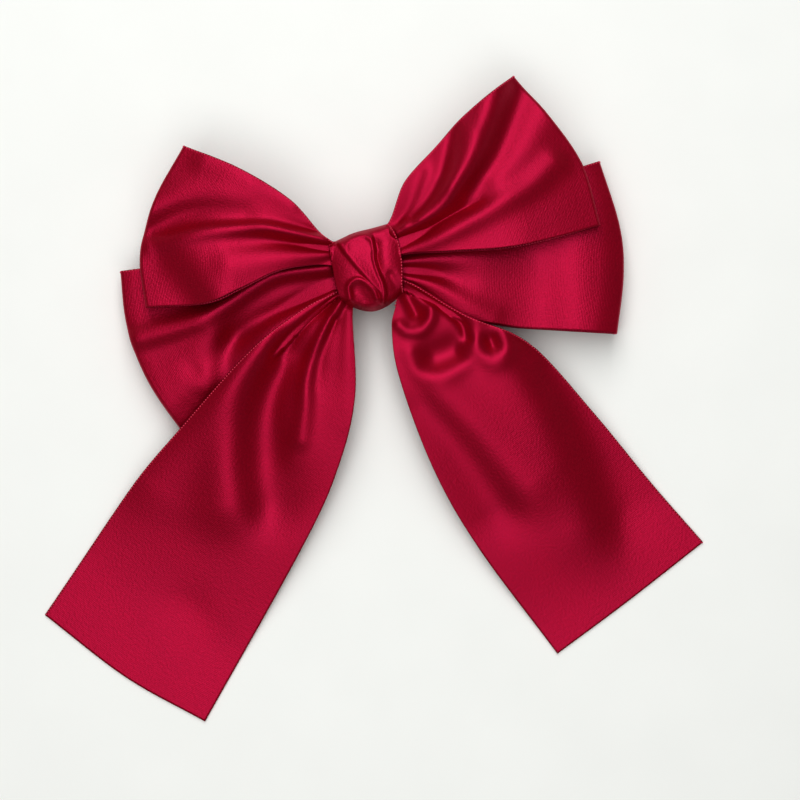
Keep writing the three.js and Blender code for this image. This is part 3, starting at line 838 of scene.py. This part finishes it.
BACK_LOOPS = LoopPair(
    name="back_loops",
    node="back_loop_ribbon",
    gathered=(5.0, -6.0),
    left=HalfShape(
        top=((-12, 6.5), (-45, 11.5), (-80.5, 14)),
        end=((-80.5, 14), (-81.5, -4), (-78, -23), (-68.5, -45)),
        bottom=((-11, -6.5), (-30, -19), (-50, -33), (-68.5, -45)),
        folds=(
            Fold(
                ((-11, 2.4), (-28, 3.2), (-38, 0.4), (-48, -3.8), (-60, -7.4), (-78, -9)),
                (3.6, 2.8),
                (2.4, 4.0),
            ),
            Fold(((-11, -3.2), (-26, -7), (-38, -10.5), (-50, -15.5), (-60, -22)), (-3.0, -1.4), (1.8, 5)),
            Fold(((-12, -5.6), (-20, -8.5), (-33, -14), (-46, -22)), (2.2, 0.5), (1.8, 4)),
            Fold(((-50, -14), (-54, -22), (-56, -28)), (-3.0, -2.4), (4, 4.4), FoldKind.SLOPE),
            Fold(((-70, -47), (-60, -36)), (-5.5, -3.5), (10, 8)),
        ),
    ),
    right=HalfShape(
        top=((12, 7.5), (45, 16), (82.5, 22.5)),
        end=((82.5, 22.5), (85.3, 0), (83.8, -16), (78.2, -35)),
        bottom=((11.5, -8.5), (24, -19), (42, -26), (57.5, -30), (78.2, -35)),
        folds=(
            Fold(((11, 0.2), (27, -1.4), (40, -4), (56, -8)), (2.4, 0.2), (1.8, 6)),
            Fold(((11, -2.4), (21, -5), (31, -8.4)), (-2.8, -0.4), (1.4, 4)),
            Fold(((11, -3.8), (20, -8.4), (29, -15.5), (38, -22)), (2.4, 0.8), (1.8, 4)),
            Fold(((63, -2), (61, -16), (59, -28)), (2.4, 2.8), (9, 9), FoldKind.SLOPE),
        ),
    ),
    under=((0, 14.5), (15, 14.0), (40, 9.6), (86, 1.0)),
    upper=((0, 16.1), (12, 16.6), (35, 17.0), (60, 15.0), (82, 12.4), (88, 9.0), (95, 7.6)),
    flat=(RIBBON_WIDTH, 352.0),
)

FRONT_LOOPS = LoopPair(
    name="front_loops",
    node="front_loop_ribbon",
    gathered=(8.6, -1.6),
    left=HalfShape(
        top=((-10.5, 11.2), (-20, 25.5), (-34.5, 38.5), (-51.7, 50)),
        end=((-51.7, 50), (-63.5, 35), (-72, 18), (-73.2, 0)),
        bottom=((-11.5, 3.0), (-20, 4.2), (-29, 3.8), (-41.5, 0.2), (-53, -2.2), (-73.2, 0)),
        folds=(
            Fold(((-10.5, 12.8), (-18, 16.6), (-28, 21)), (-1.2, -0.2), (0.9, 2.0)),
            Fold(
                ((-10.5, 10.6), (-20, 14.4), (-30, 18.2), (-40, 19.6), (-52, 20.4), (-68, 20)),
                (3.2, 2.0),
                (1.6, 3.4),
            ),
            Fold(((-11, 8.6), (-20, 11.4), (-30, 14), (-40, 14.8)), (-3.0, -0.4), (1.1, 3.4)),
            Fold(((-11, 6.2), (-20, 7.0), (-30, 7.8), (-42, 8.4)), (1.8, 1.8), (1.4, 6)),
            Fold(((-68, 27), (-56, 30), (-46, 29.5), (-36, 27)), (4.2, 1.6), (4.2, 3.8), FoldKind.SLOPE),
            Fold(((-20, 24), (-34, 36), (-45, 43)), (0.8, 1.0), (3, 5)),
            Fold(((-60, 12), (-57, 6), (-53, -2)), (2.0, 2.8), (6, 6), FoldKind.SLOPE),
        ),
    ),
    right=HalfShape(
        top=((9.5, 13), (17, 25), (28.3, 34), (39.6, 42.8), (58.4, 54)),
        end=((58.4, 54), (67, 40), (75.5, 22), (77.9, 0.7)),
        bottom=((12, 2.3), (27.7, 0.6), (47, -1.5), (63, -0.8), (77.9, 0.7)),
        folds=(
            Fold(((11, 6.3), (20, 8.5), (30.7, 12.4), (40, 15)), (-7.0, -1.0), (1.4, 2.4), FoldKind.SHARP),
            Fold(((11.5, 3.2), (24, 5.2), (37, 9.2), (47, 13), (57, 17), (66, 23)), (2.2, 1.8), (2.4, 4.4)),
            Fold(
                ((50.5, 50), (44.5, 38.5), (40, 30), (32.5, 20.5), (25, 13), (12, 8.8)),
                (1.9, 3.8),
                (5.6, 2.4),
            ),
            Fold(((36.5, 38), (33, 29), (28, 21), (19, 13)), (1.8, 1.3), (3.0, 1.5), FoldKind.SLOPE),
            Fold(((24, 26), (19.5, 18.5), (14, 12.2)), (1.2, 0.9), (2.6, 1.2), FoldKind.SLOPE),
            Fold(((56.5, 50), (50, 37.5), (43.5, 27.5), (34.5, 18)), (-3.0, -1.8), (4, 2.6), FoldKind.SLOPE),
            Fold(((76, 50), (58, 30), (47, 21)), (1.8, 0.8), (10, 4)),
        ),
    ),
    under=((0, 19.2), (12, 19.6), (45, 18.0), (80, 11.5)),
    upper=((0, 20.6), (12, 21.8), (28, 24.6), (50, 24.6), (66, 21.5), (82, 17.5)),
    flat=(RIBBON_WIDTH, 313.0),
    pleat_count=10,
)


# ---- The tails ----


@dataclass(kw_only=True)
class Tails(Ribbon):
    """The ribbon whose two ends hang below the knot.

    Args:
        level: its height at each distance from the knot.
        far_ease: how widely the level is rounded far from the knot.
        easing: where that wider rounding begins and where it is complete.
    """

    level: Path
    steps: int = 230
    bare: float = 13.0
    far_ease: float = 16.0
    easing: Point = (30, 60)

    def _half(self, shape: HalfShape, support: Support) -> np.ndarray:
        """Lays one tail over the loops and down to the floor."""
        first = smooth_path(((0, self.gathered[0]), *shape.top), self.steps)
        last = smooth_path(((0, self.gathered[1]), *shape.bottom), self.steps)
        plan = patch(self._start(), smooth_path(shape.end, self.rows), first, last)
        distance = np.hypot(plan[..., 0], plan[..., 1])
        shown = smooth_step(distance, self.hidden, self.bare)
        near = profile(distance, self.level)
        far = profile(distance, self.level, self.far_ease)
        own = near + (far - near) * smooth_step(distance, *self.easing)
        return np.dstack([plan, support.drape(plan, own + shown * folded(plan, shape.folds))])


TAILS = Tails(
    name="tails",
    node="tail_ribbon",
    gathered=(2.5, -6.0),
    left=HalfShape(
        top=(
            *((-6, -2), (-11.5, -5.8), (-23, -9.6), (-42, -20), (-70, -41)),
            *((-91.4, -58.6), (-126.9, -94.6)),
        ),
        end=((-126.9, -94.6), (-103.7, -120), (-80, -139.3)),
        bottom=((-4.5, -10), (-7, -14), (-10.7, -40), (-20.2, -62), (-36.5, -86), (-80, -139.3)),
        folds=(
            Fold(
                ((-12, -6.5), (-19, -9.9), (-34.5, -18), (-49, -28), (-64, -40), (-82, -57)),
                (2.0, 1.4),
                (1.6, 10),
            ),
            Fold(((-11.5, -8), (-23, -14), (-33, -22)), (-2.8, -1.8), (1.4, 2.6)),
            Fold(
                ((-33, -20), (-42, -31), (-47.5, -42), (-50.5, -55), (-51.5, -68)),
                (-5.2, -5.0),
                (5, 7.5),
                FoldKind.SLOPE,
            ),
            Fold(
                ((-10, -9), (-17, -18), (-22.5, -26), (-26, -34), (-28, -42), (-31, -51)),
                (2.8, 1.4),
                (1.4, 3.4),
            ),
            Fold(((-13, -14.5), (-20, -24.5), (-23.5, -33)), (-1.8, -0.4), (1.2, 3)),
            Fold(((-31, -29), (-35.5, -40), (-37, -54)), (0.7, 0.8), (3, 4), FoldKind.SLOPE),
            Fold(((-8, -13), (-11, -30), (-14, -48)), (1.2, 0.4), (2, 5)),
            Fold(((-80, -102), (-75, -118)), (-0.8, -0.6), (9, 9)),
        ),
    ),
    right=HalfShape(
        top=((7, -3), (14.8, -8), (29.5, -20.6), (49, -33.6), (66, -59), (82, -86.6), (95.6, -109)),
        end=((95.6, -109), (67.5, -124), (40.8, -137.4)),
        bottom=((6, -8), (8.5, -11), (5, -20), (4.5, -37), (10.5, -69), (21, -98), (40.8, -137.4)),
        folds=(
            Fold(((14, -7.2), (27, -16.5), (40, -28), (49.6, -38)), (1.6, 0.8), (1.4, 3.5)),
            Fold(((11, -8), (18.8, -13.5), (27, -22), (28.6, -28)), (-2.6, -1.6), (1.0, 1.8)),
            Fold(((11.5, -10.5), (13.5, -17)), (-2.4, -2.4), (2.4, 2.4)),
            Fold(((7.4, -20), (10, -22.6), (14.1, -23), (17.6, -20), (18.6, -16.7)), (1.6, 1.4), (2.0, 2.0)),
            Fold(((17.5, -32), (23, -31)), (-3.2, -3.2), (5.2, 5.2)),
            Fold(
                ((9.5, -30), (11, -36), (16, -38.5), (22, -38), (27, -35), (29, -30)),
                (1.0, 1.2),
                (3.2, 3.2),
            ),
            Fold(((36, -30), (36.4, -31.5)), (-1.6, -1.6), (2.4, 2.4)),
            Fold(((32, -24), (32, -33), (36, -37), (40.5, -34.5), (41, -28)), (1.1, 1.3), (3.0, 3.2)),
            Fold(((46, -37), (54, -56), (60, -78), (63, -94)), (-3.6, -3.0), (7, 9), FoldKind.SLOPE),
            Fold(((14, -46), (24, -62), (34, -82)), (2.0, 3.2), (5, 7), FoldKind.SLOPE),
        ),
    ),
    level=((0, 17.6), (12, 18.4), (30, 18.8), (50, 16.6), (85, 9.2), (112, 3.4), (135, 0.35), (200, 0.35)),
    flat=(RIBBON_WIDTH, 309.0),
)


# ---- The knot ----


@dataclass
class Knot:
    """The band that is wrapped round the gathered ribbons and the clip's plate.

    Args:
        top: its turned edge away from the tails, from left to right.
        bottom: its turned edge by the tails, from left to right.
        left: its left selvedge, downwards.
        right: its right selvedge, downwards.
        folds: the folds of its face.
        face_level: the face's own height.
        crown: how much higher its middle stands.
        crown_power: how flat the crown is before it falls to the edges.
        roll: how far the face's turned edges roll down.
        roll_power: how close to the edges the roll begins.
        back_level: the height of the band where it passes under the clip's plate.
        back_corner: its height where it turns in under the plate.
        flat: the width and length that the ribbon was cut to.
        rows: how many points lie along the face between its turned edges.
        face_steps: how many lie across it, from selvedge to selvedge.
        back_steps: how many lie along the part that goes round the back.
        node: the frame's node that it stands for.
    """

    top: Path = ((-10.5, 10), (-7.5, 10.2), (-2, 11.7), (4, 12.2), (10, 12.8))
    bottom: Path = ((-9.8, -8.7), (-6, -11.3), (-1.6, -13.2), (2.4, -13.2), (6.9, -11.5), (10.5, -8.7))
    left: Path = ((-10.5, 10), (-10.6, 1.7), (-10.5, -3.5), (-9.8, -8.7))
    right: Path = ((10, 12.8), (11.8, 7), (11.8, -0.4), (10.5, -8.7))
    folds: tuple[Fold, ...] = (
        Fold(
            ((-7.8, 10), (-6, 5.9), (-3, 0.6), (0.2, -4.4), (2.8, -8.4), (3.4, -11)),
            (1.5, 1.5),
            (4, 2.4),
            FoldKind.STEP,
        ),
        Fold(((-5.2, 6.5), (-4.2, 9), (-1, 10.5), (1.9, 9.9), (3.6, 7.8), (3.9, 5)), (0.2, 0.8), (1.0, 0.8)),
        Fold(
            ((3.9, 7), (3.8, 4.5), (3.6, 1.6), (4.1, -2.4), (4.9, -6), (5.0, -9), (4.2, -12)),
            (-2.6, -1.8),
            (1.9, 1.7),
            FoldKind.STEP,
        ),
        Fold(((3.4, 4), (3.2, 1.6), (3.7, -2.4), (4.5, -6), (4.6, -9), (3.6, -12)), (0.7, 0.9), (0.7, 0.8)),
        Fold(
            ((-6.8, -9.5), (-6.4, -5), (-3.4, -3.4), (-0.8, -4.9), (1.2, -7.7), (1.8, -10.5)),
            (1.1, 1.1),
            (0.9, 0.8),
        ),
        Fold(((-3.8, -7), (-2.2, -10)), (-1.2, -1.4), (2.6, 2.6)),
        Fold(((7.4, -4), (8.5, -8)), (-1.2, -1.4), (1.8, 2.4)),
    )
    face_level: float = 23.6
    crown: float = 2.4
    crown_power: float = 2.6
    roll: float = 3.6
    roll_power: float = 18
    back_level: float = 10.6
    back_corner: float = 12.1
    flat: Point = (25.0, 69.0)
    rows: int = 110
    face_steps: int = 130
    back_steps: int = 60
    node: str = "knot_wrap"

    def _face(self, support: Support) -> np.ndarray:
        """Lays the part of the band that shows, over everything below it."""
        plan = patch(
            smooth_path(self.top, self.rows),
            smooth_path(self.bottom, self.rows),
            smooth_path(self.left, self.face_steps),
            smooth_path(self.right, self.face_steps),
        )
        u = np.linspace(-1, 1, self.rows)[:, None]
        v = np.linspace(-1, 1, self.face_steps)[None]
        dome = self.crown * (1 - np.abs(u) ** self.crown_power) * (1 - np.abs(v) ** self.crown_power)
        roll = self.roll * np.abs(v) ** self.roll_power
        draped = support.drape(plan, self.face_level + dome + folded(plan, self.folds))
        return np.dstack([plan, draped - roll])

    def _under(self, row: np.ndarray) -> np.ndarray:
        """Leads one row of the band down its two ends and back under the clip's plate.

        Args:
            row: the row's points across the face.

        Returns:
            The points that close the row into a ring.
        """
        (x0, y0, z0), (x1, y1, z1) = row[0], row[-1]
        line = (
            (x1, y1, z1),
            (x1, y1 - 0.4, z1 - 2),
            (0.95 * x1, y1 - 0.2, z1 - 6),
            (0.9 * x1, y1 + 1.0, self.back_corner),
            (0.88 * x1, y1 + 2.6, self.back_level),
            (0.88 * (x0 + x1) / 2, (y0 + y1) / 2, self.back_level),
            (0.88 * x0, y0 - 2.6, self.back_level),
            (0.9 * x0, y0 - 1.0, self.back_corner),
            (0.95 * x0, y0 + 0.2, z0 - 6),
            (x0, y0 + 0.4, z0 - 2),
            (x0, y0, z0),
        )
        return smooth_path(line, self.back_steps)[1:-1]

    def build(self, support: Support, satin: Satin) -> Object:
        """Makes the band as a ring round the stack and ties it to the frame."""
        face = self._face(support)
        support.add(face)
        grid = np.concatenate([face, np.array([self._under(row) for row in face])], axis=1)
        return lay_cloth("knot", grid, self.node, self.flat, "folded", satin)


# ---- The clip ----


@dataclass
class Clip:
    """The pressed steel clip, the thread and the glue, which keep the frame's own shapes."""

    metal: tuple[str, ...] = (
        "base_plate",
        "spring_strip",
        "hinge_pin",
        "lever",
        "latch_saddle",
        "latch_rivet",
        "latch_prong_front",
        "latch_prong_rear",
    )
    edge_radius: float = 0.07
    edge_angle: float = 40  # sharper turns than this are rounded, in degrees
    weld: float = 0.002

    def _soften(self, node: Object) -> None:
        """Rounds a node's edges with live modifiers and leaves its mesh alone."""
        weld = node.modifiers.new("weld", "WELD")
        weld.merge_threshold = self.weld * MM
        bevel = node.modifiers.new("edges", "BEVEL")
        bevel.width = self.edge_radius * MM
        bevel.segments = 2
        bevel.limit_method = "ANGLE"
        bevel.angle_limit = math.radians(self.edge_angle)

    def build(self, nickel: Material, thread: Material, glue: Material) -> None:
        """Gives each node of the clip its finish."""
        finishes = {name: nickel for name in self.metal}
        finishes |= {"gather_thread": thread, "glue_dab_left": glue, "glue_dab_right": glue}
        for name, finish in finishes.items():
            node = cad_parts[name]
            node.data.materials.clear()
            node.data.materials.append(finish)
            self._soften(node)
            log.info("%s: %s", name, finish.name)


# ---- The studio ----


@dataclass(frozen=True)
class Lamp:
    """A soft rectangular light that faces the bow.

    Args:
        name: its name.
        place: where it hangs, in millimetres.
        size: its width and length, in millimetres.
        power: its power, in watts.
    """

    name: str
    place: tuple[float, float, float]
    size: Point
    power: float

    def hang(self) -> None:
        """Adds the lamp to the scene."""
        data = bpy.data.lights.new(self.name, "AREA")
        data.shape = "RECTANGLE"
        data.size, data.size_y = self.size[0] * MM, self.size[1] * MM
        data.energy = self.power
        lamp = bpy.data.objects.new(self.name, data)
        lamp.location = [c * MM for c in self.place]
        lamp.rotation_euler = (-lamp.location).to_track_quat("-Z", "Y").to_euler()
        bpy.context.scene.collection.objects.link(lamp)


@dataclass
class Studio:
    """A pale floor, soft light and the camera straight above.

    Args:
        camera_place: where the camera is, in millimetres.
        camera_lens: its focal length, in millimetres.
        camera_sensor: its sensor's width, in millimetres.
        camera_turn: how far it is turned about its own line of sight, in degrees.
        floor_half: half the floor's side, in millimetres.
        sky: the strength of the light from all round.
        gamma: the gamma of the view.
        lamps: the soft lights.
    """

    camera_place: tuple[float, float, float] = (3.43, -44.12, 600.0)
    camera_lens: float = 80.1
    camera_sensor: float = 36
    camera_turn: float = -10.0
    floor_half: float = 3000.0
    sky: float = 0.2
    gamma: float = 0.82
    lamps: tuple[Lamp, ...] = (
        Lamp("window", (40, 460, 950), (640, 1450), 11.0),
        Lamp("ceiling", (-140, -430, 900), (900, 560), 3.0),
    )

    def _floor(self) -> None:
        """Lays the floor, which can be seen through from below."""
        bpy.ops.object.select_all(action="DESELECT")
        bpy.ops.mesh.primitive_plane_add(size=2 * self.floor_half * MM)
        floor = bpy.context.object
        floor.name = "floor"
        pale = PALE_FLOOR.material()
        graph = Graph(pale.node_tree)
        below = graph.add("NewGeometry").outputs["Backfacing"]
        solid = graph.nodes["Principled BSDF"].outputs[0]
        clear = graph.add("BsdfTransparent").outputs[0]
        mix = graph.add("MixShader", {"Fac": below, 1: solid, 2: clear})
        graph.feed(graph.nodes["Material Output"], {"Surface": mix.outputs[0]})
        floor.data.materials.append(pale)

    def _lights(self) -> None:
        """Hangs the soft lights and the pale sky."""
        for lamp in self.lamps:
            lamp.hang()
        world = bpy.data.worlds.new("soft_sky")
        world.use_nodes = True
        world.node_tree.nodes["Background"].inputs["Color"].default_value = colour(250, 252, 250)
        world.node_tree.nodes["Background"].inputs["Strength"].default_value = self.sky
        bpy.context.scene.world = world

    def build(self) -> None:
        """Sets the floor, the lights and the camera."""
        self._floor()
        self._lights()
        data = bpy.data.cameras.new("above")
        data.lens = self.camera_lens
        data.sensor_width = self.camera_sensor
        camera = bpy.data.objects.new("above", data)
        camera.location = [c * MM for c in self.camera_place]
        camera.rotation_euler = (0, 0, math.radians(self.camera_turn))
        bpy.context.scene.collection.objects.link(camera)
        bpy.context.scene.camera = camera
        bpy.context.scene.view_settings.view_transform = "Standard"
        bpy.context.scene.view_settings.gamma = self.gamma


def clip_support(support: Support) -> None:
    """Records the clip's plate and the glue, so that the ribbons lie on them."""
    for node in ("base_plate", "glue_dab_left", "glue_dab_right"):
        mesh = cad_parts[node].data
        mesh.calc_loop_triangles()
        points = np.array([v.co for v in mesh.vertices]) / MM
        corners = points[np.array([t.vertices for t in mesh.loop_triangles])]
        one, other = corners[:, 1] - corners[:, 0], corners[:, 2] - corners[:, 0]
        for a in np.linspace(0, 1, PLATE_SAMPLES):
            for b in np.linspace(0, 1 - a, PLATE_SAMPLES):
                support.add((corners[:, 0] + a * one + b * other)[None].repeat(2, 0))


def main() -> None:
    """Builds the bow, piece by piece."""
    logging.basicConfig(level=logging.INFO, format="%(name)s: %(message)s")
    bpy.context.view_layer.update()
    Studio().build()
    weave = SatinWeave()
    satin = (SatinFinish().material(weave), PICOT_THREAD_PAINTED_GLINT.material(weave))
    nickel = NickelFinish().material()
    Clip().build(nickel, BINDING_THREAD.material(), HOT_GLUE.material())
    support = Support()
    clip_support(support)
    BACK_LOOPS.build(support, satin)
    TAILS.build(support, satin)
    FRONT_LOOPS.build(support, satin)
    Knot().build(support, satin)


if __name__ == "__main__":
    main()
